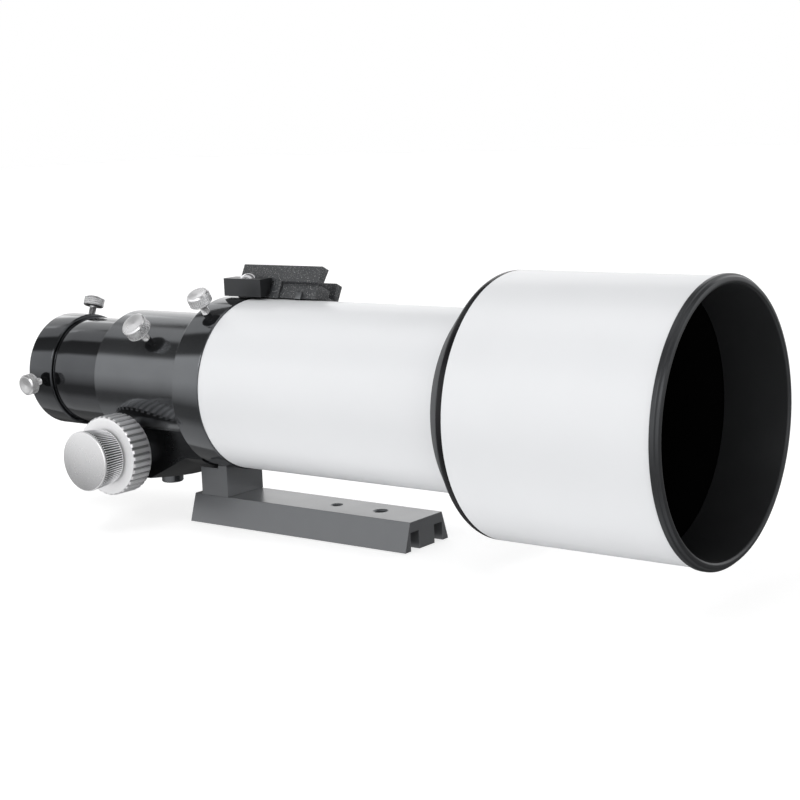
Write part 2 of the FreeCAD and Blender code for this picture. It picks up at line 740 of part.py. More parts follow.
def roller_spots():
    for end, station in (("front", "roller_front"), ("rear", "roller_rear")):
        for name, side in (("near", 1), ("far", -1)):
            yield f"roller_{end}_{name}", roller_place(station, side)


def focuser_body():
    rear = "tube_rear - collar_len - joint_gap - body_len"
    barrel = rod("body_r", "body_len", on_axis(rear))
    keel = block("body_len", "keel_half + keel_half", "keel_drop", at())
    keel.Placement.Base = Vector(amount(rear), -amount("keel_half"), amount("axis_z - keel_drop"))
    taper_end = "keel_flat_len + keel_taper_len"
    envelope = turned(
        [
            ("0", "0"),
            ("0", "keel_r"),
            ("keel_flat_len", "keel_r"),
            (taper_end, "keel_front_r"),
            ("body_len", "keel_front_r"),
            ("body_len", "0"),
        ],
        on_axis(rear),
    )
    well = block("well_len", "well_half + well_half", "well_drop", at())
    well.Placement.Base = Vector(
        amount("shaft_at") - amount("well_len") / 2, -amount("well_half"), amount("axis_z - well_drop")
    )
    keyway_half = "strip_half + key_gap"
    keyway_drop = "flat_drop + strip_high + key_gap"
    keyway = block("body_len", f"{keyway_half} + {keyway_half}", keyway_drop, at())
    keyway.Placement.Base = Vector(amount(rear), -amount(keyway_half), amount("axis_z") - amount(keyway_drop))
    tension_hole = at("shaft_at", "0", "axis_z - keel_drop - edge")
    tools = [
        rod("body_bore_r", "body_len", on_axis(rear)),
        well,
        keyway,
        centred("bush_r", "keel_half + keel_half + edge + edge", shaft_place("0", 1)),
        screw_hole(DRAWTUBE_LOCK),
        rod("stem_r + fit_gap", "tension_reach + edge + edge", tension_hole, Vector(0, 0, 1)),
    ]
    for name, place in roller_spots():
        tools.append(centred("roller_pocket_r", "roller_pocket_len", place))
        tools.append(centred("roller_pin_r", "roller_pin_len", place))
    finished(cut(joined(barrel, common(keel, envelope)), *tools), "focuser_body")


def focuser_inside():
    ring = turned(
        [
            ("0", "turn_ring_in_r"),
            ("0", "collar_seat_r - fit_gap"),
            ("groove_at - turn_groove", "collar_seat_r - fit_gap"),
            ("groove_at", "collar_seat_r - fit_gap - turn_groove"),
            ("groove_at + turn_groove", "collar_seat_r - fit_gap"),
            ("turn_ring_len", "collar_seat_r - fit_gap"),
            ("turn_ring_len", "turn_ring_in_r"),
        ],
        on_axis("tube_rear - collar_len - joint_gap"),
    )
    finished(ring, "turning_ring")
    bushes = []
    for side in (-1, 1):
        place = shaft_place("0", side) * at("keel_half - bush_len")
        bushes.append(sleeve("bush_len", "bush_r", "shaft_r + fit_gap", place))
    finished(group(*bushes), "shaft_bushes")
    plate_len = "well_len - well_gap - well_gap"
    plate = block(plate_len, "well_half + well_half - well_gap - well_gap", "plate_high", at())
    plate.Placement.Base = Vector(
        amount("shaft_at") - amount(plate_len) / 2,
        -amount("well_half - well_gap"),
        amount("axis_z - shaft_drop - shaft_r - joint_gap - plate_high"),
    )
    finished(plate, "pressure_plate")
    pins = [centred("roller_pin_r", "roller_pin_len", place) for name, place in roller_spots()]
    finished(group(*pins), "roller_axles")
    for name, place in roller_spots():
        middle = place * Placement(Vector(-amount("roller_len") / 2, 0, 0), Rotation())
        finished(sleeve("roller_len", "roller_r", "roller_bore_r", middle), name)


def drawtube():
    tube = sleeve("draw_len", "draw_r", "draw_in_r", on_axis("tube_travel_rear"))
    flat = block("draw_len", "draw_r + draw_r", "draw_r", at())
    flat.Placement.Base = Vector(
        amount("tube_travel_rear + flat_from"), -amount("draw_r"), amount("axis_z - flat_drop - draw_r")
    )
    finished(cut(tube, flat), "drawtube")
    strip = block("strip_len", "strip_half + strip_half", "strip_high", at())
    strip.Placement.Base = Vector(
        amount("tube_travel_rear + strip_from"),
        -amount("strip_half"),
        amount("axis_z - flat_drop - strip_high"),
    )
    finished(strip, "drive_strip")


def eyepiece_holder():
    rear = "tube_travel_rear - holder_len"
    full = "holder_len + holder_spigot_len"
    spigot = "draw_in_r - fit_gap"
    holder = turned(
        [
            ("0", "socket_r"),
            ("0", "holder_r - holder_edge"),
            ("holder_edge", "holder_r"),
            ("holder_len - holder_neck_len - edge", "holder_r"),
            ("holder_len - holder_neck_len", "holder_r - edge"),
            ("holder_len - holder_neck_len", "holder_neck_r - edge"),
            ("holder_len", "holder_neck_r - edge"),
            ("holder_len", spigot),
            (full, spigot),
            (full, "socket_r"),
            ("brass_at + brass_len", "socket_r"),
            ("brass_at + brass_len", "brass_r + fit_gap"),
            ("brass_at", "brass_r + fit_gap"),
            ("brass_at", "socket_r"),
        ],
        on_axis(rear),
    )
    holes = [screw_hole(place) for place in HOLDER_SCREWS.values()]
    finished(cut(holder, *holes), "eyepiece_holder")
    brass = sleeve("brass_len", "brass_r", "socket_r", on_axis(f"{rear} + brass_at"))
    split = block("brass_len", "brass_split", "brass_r", on_axis(f"{rear} + brass_at"))
    split.Placement.Base.z -= amount("brass_r")
    finished(cut(brass, split), "brass_clamp_ring")


def focus_knobs():
    finished(rod("shaft_r", "shaft_near + knob_out", shaft_place("- shaft_near", 1)), "drive_shaft")
    knob_len = "knob_out - hub_in"
    hub_len = "knob_in - hub_in"
    section = [
        ("0", "shaft_r + fit_gap"),
        ("0", "hub_r"),
        (hub_len, "hub_r"),
        (hub_len, "knob_r - edge"),
        (f"{hub_len} + edge", "knob_r"),
        (f"{knob_len} - edge", "knob_r"),
        (knob_len, "knob_r - edge"),
    ]
    lid = f"{knob_len} - reducer_lid"
    pocket = [
        (knob_len, "fine_shaft_r + joint_gap"),
        (lid, "fine_shaft_r + joint_gap"),
        (lid, "reducer_r"),
        (f"{lid} - reducer_len", "reducer_r"),
        (f"{lid} - reducer_len", "shaft_r + fit_gap"),
    ]
    finished(turned(section + pocket, shaft_place("- hub_in", -1)), "coarse_knob_near")
    far = section + [(knob_len, "shaft_r + fit_gap")]
    finished(turned(far, shaft_place("hub_in", 1)), "coarse_knob_far")
    balls = []
    for index in range(3):
        angle = math.radians(120 * index)
        place = shaft_place("- knob_out + reducer_lid + ball_r + joint_gap", -1)
        ring = amount("ball_ring_r")
        offset = Vector(ring * math.cos(angle), 0, ring * math.sin(angle))
        place.Base = place.Base + offset
        balls.append(ball("ball_r", place))
    finished(group(*balls), "reducer_balls")
    fine_len = "fine_out - fine_in"
    fine = turned(
        [
            ("0", "fine_shaft_r"),
            ("0", "fine_rear_r - edge"),
            ("edge", "fine_rear_r"),
            (f"{fine_len} - edge", "fine_r"),
            (fine_len, "fine_r - edge"),
            (fine_len, "0"),
            (f"{fine_len} - fine_cap", "0"),
            (f"{fine_len} - fine_cap", "fine_shaft_r"),
        ],
        shaft_place("- fine_in", -1),
    )
    finished(fine, "fine_knob")
    shaft_len = "fine_out - knob_out + fine_shaft_in - fine_cap - joint_gap"
    fine_shaft = rod("fine_shaft_r", shaft_len, shaft_place("- knob_out + fine_shaft_in", -1))
    finished(fine_shaft, "fine_shaft")


# ---- thumbscrews ---------------------------------------------------------------------------------

def screw_hole(place):
    """Hole for a thumbscrew with its tip at the place's origin."""
    return rod("stem_r + fit_gap", "hole_len", place * at("- hole_behind"))


def thumbscrew(label, place, reach, head_r, head_len):
    """Screw with its tip at the place's origin; the knurled head starts at reach."""
    corners = [
        ("0", "0"),
        ("0", "stem_r"),
        (reach, "stem_r"),
        (reach, f"{head_r} - edge"),
        (f"{reach} + edge", head_r),
        (f"{reach} + {head_len} - edge", head_r),
        (f"{reach} + {head_len}", f"{head_r} - edge"),
        (f"{reach} + {head_len}", "0"),
    ]
    finished(turned(corners, place), label)


def thumbscrews():
    for label, place in HOLDER_SCREWS.items():
        thumbscrew(label, place, "holder_reach", "small_head_r", "small_head_len")
    thumbscrew("drawtube_lock_screw", DRAWTUBE_LOCK, "drawtube_reach", "lock_head_r", "lock_head_len")
    thumbscrew("rotation_lock_screw", ROTATION_LOCK, "rotation_reach", "turn_head_r", "turn_head_len")
    thumbscrew("finder_clamp_screw", SHOE_CLAMP, "clamp_reach", "small_head_r", "small_head_len")
    top = amount("axis_z - keel_drop - joint_gap")
    place = Placement(Vector(amount("shaft_at"), 0, top), Rotation(Vector(1, 0, 0), Vector(0, 0, -1)))
    tension = turned(
        [
            ("0", "0"),
            ("0", "stem_r"),
            ("tension_reach", "stem_r"),
            ("tension_reach", "tension_r"),
            ("tension_reach + tension_len - edge", "tension_r"),
            ("tension_reach + tension_len", "tension_r - edge"),
            ("tension_reach + tension_len", "0"),
        ],
        place * at("- tension_reach"),
    )
    finished(tension, "tension_screw")


fill_sheet()
HOLDER_SCREWS = {
    "holder_screw_top": around_axis("holder_screw_at", "holder_top_turn", "brass_r + joint_gap"),
    "holder_screw_side": around_axis("holder_screw_at", "holder_side_turn", "brass_r + joint_gap"),
}
DRAWTUBE_LOCK = around_axis("drawtube_lock_at", "drawtube_lock_turn", "draw_r + joint_gap + fit_gap")
ROTATION_LOCK = around_axis("rotation_lock_at", "rotation_lock_turn", "collar_seat_r + joint_gap")
SHOE_CLAMP = shoe_place("clamp_at") * at(
    "0", "far_high + clamp_in", "shoe_floor + clamp_high", Rotation(Vector(1, 0, 0), Vector(0, 1, 0))
)
main_tube()
lens_cell()
lenses()
rear_collar()
dovetail_bar()
mounting_post()
finder_shoe()
shoe_side_block()
dew_shield()
focuser_body()
focuser_inside()
drawtube()
eyepiece_holder()
focus_knobs()
thumbscrews()
doc.recompute()

for item in doc.Objects:
    if "Invalid" in item.State or "Error" in item.State:
        raise RuntimeError(f"{item.Name} failed: {item.State}")
for node in nodes:
    if node.Shape.isNull() or not node.Shape.isValid():
        raise RuntimeError(f"{node.Label} has a bad shape")

os.makedirs("parts", exist_ok=True)
for node in nodes:
    node.Shape.exportStep(f"parts/{node.Label}.step")
    print(node.Label, round(node.Shape.Volume / 1000, 2), "cm3", len(node.Shape.Solids), "solids")
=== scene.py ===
import json
import math
import bmesh
import bpy
from mathutils import Matrix, Vector


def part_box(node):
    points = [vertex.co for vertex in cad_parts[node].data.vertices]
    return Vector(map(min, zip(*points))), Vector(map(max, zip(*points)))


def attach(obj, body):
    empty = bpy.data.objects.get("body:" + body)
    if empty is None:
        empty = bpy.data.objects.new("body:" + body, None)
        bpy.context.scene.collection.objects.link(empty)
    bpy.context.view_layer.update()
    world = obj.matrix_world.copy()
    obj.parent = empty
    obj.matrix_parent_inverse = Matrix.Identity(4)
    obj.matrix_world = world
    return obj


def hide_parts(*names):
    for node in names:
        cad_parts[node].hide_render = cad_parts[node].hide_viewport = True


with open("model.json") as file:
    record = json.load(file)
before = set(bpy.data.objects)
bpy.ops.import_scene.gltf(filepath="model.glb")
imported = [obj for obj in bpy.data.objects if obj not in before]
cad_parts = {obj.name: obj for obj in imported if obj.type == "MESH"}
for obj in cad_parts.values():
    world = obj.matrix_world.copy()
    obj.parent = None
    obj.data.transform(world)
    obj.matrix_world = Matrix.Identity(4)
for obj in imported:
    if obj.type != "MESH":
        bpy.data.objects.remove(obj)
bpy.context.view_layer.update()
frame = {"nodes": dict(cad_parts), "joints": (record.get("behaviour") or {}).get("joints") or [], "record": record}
NODES = frame["nodes"]
MM = 0.001
AXIS = Vector((0, 0, 0.0734))
X = Vector((1, 0, 0))
SEGMENTS = 192
SHIELD_SEGMENTS = 256
SHOE_TILT = 27
TUBE_WALL = 2
SADDLE_R = 44.65
KEEL_FROM = 35


# ---- profiles and meshes --------------------------------------------------------------------

def rounded(corners, radius, steps=4):
    """Polyline in mm with its corners replaced by small arcs; a corner may carry its own radius."""
    points = []
    count = len(corners)
    for i, corner in enumerate(corners):
        here = Vector(corner[:2])
        own = corner[2] if len(corner) > 2 else radius
        before = Vector(corners[i - 1][:2]) - here
        after = Vector(corners[(i + 1) % count][:2]) - here
        reach = min(own, before.length * 0.45, after.length * 0.45)
        if reach < 0.02 or here.y < 0.01:
            points.append(here)
            continue
        a = here + before.normalized() * reach
        b = here + after.normalized() * reach
        for s in range(steps + 1):
            t = s / steps
            points.append(a * (1 - t) ** 2 + here * 2 * t * (1 - t) + b * t ** 2)
    return points


def basis(direction):
    """Two unit vectors square to the direction."""
    side = direction.cross(Vector((0, 0, 1)))
    if side.length < 1e-3:
        side = Vector((0, 1, 0))
    side.normalize()
    return side, side.cross(direction).normalized()


def make_object(name, mesh, smooth):
    mesh.validate()
    for poly in mesh.polygons:
        poly.use_smooth = True
    mesh.set_sharp_from_angle(angle=math.radians(smooth))
    obj = bpy.data.objects.new(name, mesh)
    bpy.context.scene.collection.objects.link(obj)
    return obj


def lathe(name, profile, origin, direction, segments=SEGMENTS, shape=None, smooth=35):
    """Closed profile of (station, radius) in mm, turned about a line. shape(station, radius, angle)
    may return a changed radius, for knurls and flutes."""
    origin, direction = Vector(origin), Vector(direction).normalized()
    side, up = basis(direction)
    verts, faces = [], []
    rings = []
    for station, radius in profile:
        centre = origin + direction * station * MM
        if radius < 1e-4:
            rings.append([len(verts)] * segments)
            verts.append(centre)
            continue
        rings.append(list(range(len(verts), len(verts) + segments)))
        for k in range(segments):
            angle = 2 * math.pi * k / segments
            r = shape(station, radius, angle) if shape else radius
            verts.append(centre + (side * math.cos(angle) + up * math.sin(angle)) * r * MM)
    for i, ring in enumerate(rings):
        nxt = rings[(i + 1) % len(rings)]
        if ring[0] == ring[1] and nxt[0] == nxt[1]:
            continue
        for k in range(segments):
            m = (k + 1) % segments
            quad = [ring[k], ring[m], nxt[m], nxt[k]]
            face = [v for j, v in enumerate(quad) if v not in quad[:j]]
            if len(face) > 2:
                faces.append(face)
    mesh = bpy.data.meshes.new(name)
    mesh.from_pydata([tuple(v) for v in verts], [], faces)
    cleaned = bmesh.new()
    cleaned.from_mesh(mesh)
    bmesh.ops.recalc_face_normals(cleaned, faces=cleaned.faces)
    cleaned.to_mesh(mesh)
    cleaned.free()
    return make_object(name, mesh, smooth)


def prism(name, outline, x0, x1, bevel):
    """Outline of (side, height) in mm in the finder shoe's tilted frame, drawn out between two stations."""
    tilt = Matrix.Rotation(math.radians(-SHOE_TILT), 3, "X")
    body = bmesh.new()
    ends = []
    for x in (x0, x1):
        ring = [body.verts.new(AXIS + (tilt @ Vector((x, y, z))) * MM) for y, z in outline]
        ends.append(ring)
        body.faces.new(ring)
    for i in range(len(outline)):
        j = (i + 1) % len(outline)
        body.faces.new((ends[0][i], ends[0][j], ends[1][j], ends[1][i]))
    bmesh.ops.recalc_face_normals(body, faces=body.faces)
    sharp = [e for e in body.edges if e.calc_face_angle(0) > 0.5]
    bmesh.ops.bevel(body, geom=sharp, offset=bevel * MM, segments=2, profile=0.6, affect="EDGES")
    mesh = bpy.data.meshes.new(name)
    body.to_mesh(mesh)
    body.free()
    return make_object(name, mesh, 30)


def place(obj, look, body, *replaced, slot):
    """Gives a piece its material and body, and hides the CAD nodes that it stands in for. The slot argument is not
    used.
    """
    obj.data.materials.clear()
    obj.data.materials.append(look)
    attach(obj, body)
    if replaced:
        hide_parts(*replaced)
    return obj


def span(node):
    """First and last station of a node along the optical axis, in mm, and its half height."""
    low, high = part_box(node)
    return low.x / MM, high.x / MM, (high.z - low.z) / 2 / MM


# ---- materials -------------------------------------------------------------------------------

def add_node(tree, kind, settings=None, **values):
    """Shader node; settings are its own properties, values its inputs, with _ for a space in the name."""
    made = tree.nodes.new("ShaderNode" + kind)
    for name, value in (settings or {}).items():
        setattr(made, name, value)
    for name, value in values.items():
        made.inputs[name.replace("_", " ")].default_value = value
    return made


def wire(tree, output, target):
    tree.links.new(output, target)


def add_bump(tree, height, normal, settings=None, **values):
    """Bump from a height output on top of a normal output; gives the new normal output."""
    made = add_node(tree, "Bump", settings, **values)
    wire(tree, height, made.inputs["Height"])
    wire(tree, normal, made.inputs["Normal"])
    return made.outputs["Normal"]


def set_ramp(ramp, *stops):
    for element, (position, color) in zip(ramp.color_ramp.elements, stops):
        element.position = position
        element.color = color


def material(name, color, metallic=0.0, roughness=0.4, coat=0.0, coat_roughness=0.05, specular=0.5,
             tint=0.04, tint_scale=60, bump=0.0, bump_scale=900, rough_spread=0.06, edge=0.00025,
             lines=0.0, transmission=0.0, ior=1.45, sheen=0.0):
    """Principled material with colour mottling, uneven roughness, fine bump and softened edges."""
    made = bpy.data.materials.new(name)
    made.use_nodes = True
    tree = made.node_tree
    shader = tree.nodes["Principled BSDF"]
    for title, value in (
        ("Metallic", metallic), ("Coat Weight", coat), ("Coat Roughness", coat_roughness),
        ("Specular IOR Level", specular), ("Transmission Weight", transmission), ("IOR", ior),
        ("Sheen Weight", sheen),
    ):
        shader.inputs[title].default_value = value
    where = add_node(tree, "TexCoord").outputs["Object"]
    mottle = add_node(tree, "TexNoise", Scale=tint_scale, Detail=4)
    wire(tree, where, mottle.inputs["Vector"])
    ramp = add_node(tree, "ValToRGB")
    set_ramp(ramp, (0.3, [max(0, c * (1 - tint)) for c in color] + [1]),
             (0.7, [min(1, c * (1 + tint)) for c in color] + [1]))
    wire(tree, mottle.outputs["Fac"], ramp.inputs["Fac"])
    wire(tree, ramp.outputs["Color"], shader.inputs["Base Color"])
    spread = add_node(tree, "MapRange", To_Min=max(0.02, roughness - rough_spread),
                      To_Max=min(1, roughness + rough_spread))
    wire(tree, mottle.outputs["Fac"], spread.inputs["Value"])
    wire(tree, spread.outputs["Result"], shader.inputs["Roughness"])
    normal = add_node(tree, "Bevel", {"samples": 4}, Radius=edge).outputs["Normal"]
    if bump:
        grain = add_node(tree, "TexNoise", Scale=bump_scale, Detail=3)
        wire(tree, where, grain.inputs["Vector"])
        normal = add_bump(tree, grain.outputs["Fac"], normal, Strength=bump, Distance=0.0002)
    if lines:
        bands = {"wave_type": "BANDS", "bands_direction": "X"}
        wave = add_node(tree, "TexWave", bands, Scale=900, Distortion=1.5, Detail=2)
        wire(tree, where, wave.inputs["Vector"])
        normal = add_bump(tree, wave.outputs["Fac"], normal, Strength=lines, Distance=0.00003)
    wire(tree, normal, shader.inputs["Normal"])
    return made


def textured_paint(name, color):
    """Cast part under crinkled black paint: clustered bumps with small painted highlights on their tops."""
    made = material(name, color, roughness=0.34, bump=0.9, bump_scale=1400, tint=0.25, tint_scale=700,
                    specular=0.7, edge=0.0004)
    tree = made.node_tree
    shader = tree.nodes["Principled BSDF"]
    where = [n for n in tree.nodes if n.type == "TEX_COORD"][0]
    cells = add_node(tree, "TexVoronoi", Scale=1300)
    wire(tree, where.outputs["Object"], cells.inputs["Vector"])
    last = shader.inputs["Normal"].links[0].from_socket
    normal = add_bump(tree, cells.outputs["Distance"], last, {"invert": True}, Strength=0.8, Distance=0.0003)
    wire(tree, normal, shader.inputs["Normal"])
    # painted highlight: lighter grey at the bump tops stands in for glints
    crest_glints = add_node(tree, "ValToRGB")
    set_ramp(crest_glints, (0.06, (0.6, 0.6, 0.6, 1)), (0.22, list(color) + [1]))
    wire(tree, cells.outputs["Distance"], crest_glints.inputs["Fac"])
    wire(tree, crest_glints.outputs["Color"], shader.inputs["Base Color"])
    return made


WHITE = material("white_paint", (0.685, 0.693, 0.707), roughness=0.38, coat=0.2, coat_roughness=0.15,
                 tint=0.012, tint_scale=18, bump=0.03, bump_scale=500)
BLACK = material("gloss_black", (0.135, 0.14, 0.147), metallic=0.95, roughness=0.09,
                 tint=0.05, lines=0.02, rough_spread=0.02)
BARREL = material("gloss_black_body", (0.135, 0.14, 0.147), metallic=0.95, roughness=0.15, tint=0.05,
                  lines=0.02, rough_spread=0.02)
DARK = material("gloss_black_drawtube", (0.075, 0.078, 0.083), metallic=0.95, roughness=0.09, tint=0.05,
                lines=0.02, rough_spread=0.02)
RIM = material("gloss_black_rim", (0.055, 0.057, 0.06), metallic=0.75, roughness=0.34, tint=0.05, lines=0.02,
               rough_spread=0.03)
RING = material("satin_black_ring", (0.05, 0.052, 0.055), roughness=0.5, specular=0.12, tint=0.1)
BAND = material("gloss_black_band", (0.008, 0.008, 0.009), roughness=0.25, specular=0.2, tint=0.05)
# painted shade: a darker copy of the gloss black for the block under the focuser's barrel
BELLY_SHADE = material("gloss_black_keel_shade", (0.03, 0.031, 0.033), metallic=0.9, roughness=0.26, tint=0.05)
FLAT = material("flat_black", (0.012, 0.012, 0.013), roughness=0.75, bump=0.15)
LINER = material("flat_black_liner", (0.002, 0.002, 0.002), roughness=0.95, specular=0.02, bump=0.15)
SLEEVE = material("satin_black_sleeve", (0.032, 0.033, 0.035), metallic=0.5, roughness=0.45)
GREY = material("satin_grey", (0.128, 0.133, 0.14), metallic=0.75, roughness=0.38, bump=0.08, bump_scale=2500,
                coat=0.6, coat_roughness=0.22, edge=0.0005)
NICKEL = material("satin_nickel", (0.8, 0.8, 0.81), metallic=0.92, roughness=0.27, bump=0.015, tint=0.02)
KNOB = material("satin_nickel_knob", (0.86, 0.86, 0.87), metallic=0.75, roughness=0.35, bump=0.015,
                tint=0.02)
# painted shade: a darker copy of the nickel for flutes and thread roots
GROOVE_SHADE = material("satin_nickel_groove_shade", (0.5, 0.5, 0.51), metallic=0.8, roughness=0.35, tint=0.02)
# painted highlight: a brighter, less mirror-like copy of the nickel for the coarse knob's outward face
FACE_HIGHLIGHT = material("bright_nickel_face_highlight", (0.92, 0.92, 0.93), metallic=0.35, roughness=0.5, tint=0.02)
# painted shade: a dark copy of the nickel for the sides of knobs and heads that face the body, also the fine
# knob's knurl grooves
BACK_SHADE = material("satin_nickel_back_shade", (0.12, 0.12, 0.125), metallic=0.92, roughness=0.3, tint=0.02)
STEEL = material("bright_steel", (0.72, 0.72, 0.74), metallic=1.0, roughness=0.22, tint=0.03)
BRASS = material("brass", (0.72, 0.53, 0.22), metallic=1.0, roughness=0.3, lines=0.2)
FELT = material("black_felt", (0.012, 0.012, 0.014), roughness=0.95, bump=0.5, bump_scale=3000, sheen=0.4)
CRINKLE = textured_paint("textured_black", (0.035, 0.037, 0.04))
GLASS = material("coated_glass", (0.93, 0.98, 0.96), roughness=0.03, transmission=1.0, ior=1.52,
                 tint=0.0, rough_spread=0.01, coat=1.0, coat_roughness=0.02, edge=0.0)
FOIL = material("spacer_foil", (0.6, 0.5, 0.3), metallic=1.0, roughness=0.35)

BY_SLOT = {
    "white_paint": WHITE, "gloss_black": BLACK, "flat_black": FLAT, "spacer_foil": FOIL,
    "optical_glass": GLASS, "textured_black": CRINKLE, "satin_grey": GREY, "satin_nickel": NICKEL,
    "steel": STEEL, "brass": BRASS, "black_felt": FELT,
}
DARKER = {"finder_side_block": RIM, "focuser_body": BARREL, "dew_shield_liner": LINER}
for part in frame["record"]["subparts"]:
    mesh = NODES[part["node"]].data
    mesh.materials.clear()
    mesh.materials.append(DARKER.get(part["node"], BY_SLOT[part["material_slot"]]))


# ---- tube, shield, collar and drawtube ----------------------------------------------------------

def ring(node, body, look, profile, slot, radius, segments=SEGMENTS):
    """Turned piece that replaces a CAD node; stations count from the node's rear edge."""
    start = span(node)[0]
    made = lathe("fine_" + node, rounded(profile, radius), AXIS + X * start * MM, X, segments)
    return place(made, look, body, node, slot=slot)


def paint_where(obj, extra, test):
    """Second material on the faces whose distance from the optical axis, in mm, passes the test."""
    obj.data.materials.append(extra)
    for poly in obj.data.polygons:
        centre = obj.matrix_world @ poly.center - AXIS
        if test(centre.yz.length / MM):
            poly.material_index = 1


def white_tube(node, body, radius, segments):
    x0, x1, r = span(node)
    length = x1 - x0
    profile = [(0, r - TUBE_WALL), (0, r), (length, r), (length, r - TUBE_WALL)]
    ring(node, body, WHITE, profile, "white_paint", radius, segments=segments)


def front_rim():
    x0, x1, r = span("dew_shield_front_rim")
    length = x1 - x0
    inner, seat = 59.3, 60.4
    profile = [
        (0, inner), (0, seat), (length - 4.1, seat), (length - 4.1, r), (length - 1.9, r, 0.4),
        (length - 1.5, r - 0.9), (length - 0.3, r - 1.4), (length, inner + 0.9, 0.5), (length - 0.8, inner),
    ]
    rim = ring("dew_shield_front_rim", "dew_shield", RIM, profile, "gloss_black", 0.3,
               segments=SHIELD_SEGMENTS)
    paint_where(rim, SLEEVE, lambda radius: radius < inner + 0.2)


def rear_ring():
    x0, x1, r = span("dew_shield_rear_ring")
    length = x1 - x0
    inner, groove, step = 44.4, 46.0, 7.2
    profile = [
        (0, inner), (0, 50, 1.2), (length - 3, r - 0.1, 1.2), (length - 0.3, r), (length, r - 0.3),
        (length, groove), (length - step, groove), (length - step, inner),
    ]
    rear = ring("dew_shield_rear_ring", "dew_shield", RING, profile, "gloss_black", 0.3,
                segments=SHIELD_SEGMENTS)
    paint_where(rear, BAND, lambda radius: radius > r - 0.4)


def collar():
    r = span("rear_collar")[2]
    length, spigot, bore, recess = 18, 28, 36, 38.0
    profile = [
        (0, recess), (0, r - 0.5), (0.5, r), (length - 0.4, r), (length, r - 0.4), (length, 41.95),
        (spigot, 41.95), (spigot, bore), (11.5, bore), (11.5, recess),
    ]
    ring("rear_collar", "optical_tube", BLACK, profile, "gloss_black", 0.3)


def keel():
    """The block under the focuser's barrel gets painted shade, a darker copy of the turned barrel's black."""
    paint_where(NODES["focuser_body"], BELLY_SHADE, lambda radius: radius > KEEL_FROM)


def holder():
    r = span("eyepiece_holder")[2]
    bore, groove = 25.5, 26.55
    profile = [
        (0, 26.4), (0, r - 1.6), (1.6, r), (18.3, r), (18.9, r - 0.6), (18.9, 28.7), (20, 28.7), (20, 26.95),
        (30, 26.95), (30, bore), (13.5, bore), (13.5, groove), (5.5, groove), (5.5, bore), (0.9, bore),
    ]
    ring("eyepiece_holder", "drawtube", DARK, profile, "gloss_black", 0.25)


def draw_tube():
    """Turned tube with a flat along its underside, which starts behind a round stretch."""
    x0, x1, r = span("drawtube")
    length, bore, round_length, flat_drop = x1 - x0, 27, 8, 28.7
    profile = [(0, bore), (0, r), (round_length, r), (round_length + 0.01, r), (length, r), (length, bore)]
    made = lathe("fine_drawtube", rounded(profile, 0.3), AXIS + X * x0 * MM, X)
    flat = AXIS.z - flat_drop * MM
    for v in made.data.vertices:
        if v.co.x > (x0 + round_length) * MM and v.co.z < flat:
            v.co.z = flat
    place(made, DARK, "drawtube", "drawtube", slot="gloss_black")


# ---- knobs and screws --------------------------------------------------------------------------

FLUTES = 36
KNURLS = 72
STEM = 2.0
THREAD_PITCH = 0.7


def fluted(count, depth, share, low, high):
    """Flutes between two stations: a flat-bottomed groove over part of each pitch."""
    def shape(station, radius, angle):
        if not low < station < high:
            return radius
        phase = (angle * count / (2 * math.pi)) % 1.0
        wave = min(1.0, max(0.0, (abs(phase - 0.5) * 2 - (1 - share)) / 0.16 + 0.5))
        return radius - depth * (1 - wave) if wave < 1 else radius
    return shape


def knurled(count, depth, low, high, outer):
    """Straight fine knurl on the rim only."""
    def shape(station, radius, angle):
        if radius < outer - 0.3 or not low < station < high:
            return radius
        return radius - depth * (0.5 + 0.5 * math.cos(angle * count))
    return shape


def knob_origin(node, sign):
    low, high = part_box(node)
    centre = (low + high) / 2
    return Vector((centre.x, high.y if sign < 0 else low.y, centre.z))


def coarse_knob(name, sign):
    """Fluted knob on a smooth hub; the near one's hole narrows outward to the fine knob's shaft."""
    hub, length, r, bore = 8.0, 21.9, 20.9, 4.05
    rows = 3
    rim = [(hub + 1.5 + (length - hub - 2.9) * s / rows, r) for s in range(rows + 1)]
    edge = [
        (length - 0.8, r - 0.1), (length - 0.1, r - 0.8), (length - 0.1, 10.5), (length - 0.5, 10.2),
        (length - 0.5, 9.4), (length, 9.2),
    ]
    hole = [(length, 2.2)] if sign < 0 else [(length, 4.6), (length - 0.5, 4.1), (length - 0.5, bore)]
    profile = [(0, bore), (0, 9), (hub, 9), (hub, r - 1.6), (hub + 1.3, r - 0.2)] + rim + edge + hole
    origin, axis = knob_origin(name, sign), (0, sign, 0)
    made = lathe("fine_" + name, rounded(profile, 0.2, 2), origin, axis, segments=FLUTES * 16,
                 shape=fluted(FLUTES, 1.25, 0.6, hub + 1.0, length - 0.3), smooth=50)
    place(made, KNOB, "coarse_focus", name, slot="satin_nickel")
    # painted shade in the flutes and on the rear side, painted highlight on the outer face
    shade(made, origin, axis,
          lambda station, radius: hub + 1 < station < length - 1 and 12 < radius < r - 0.7, face=FACE_HIGHLIGHT)


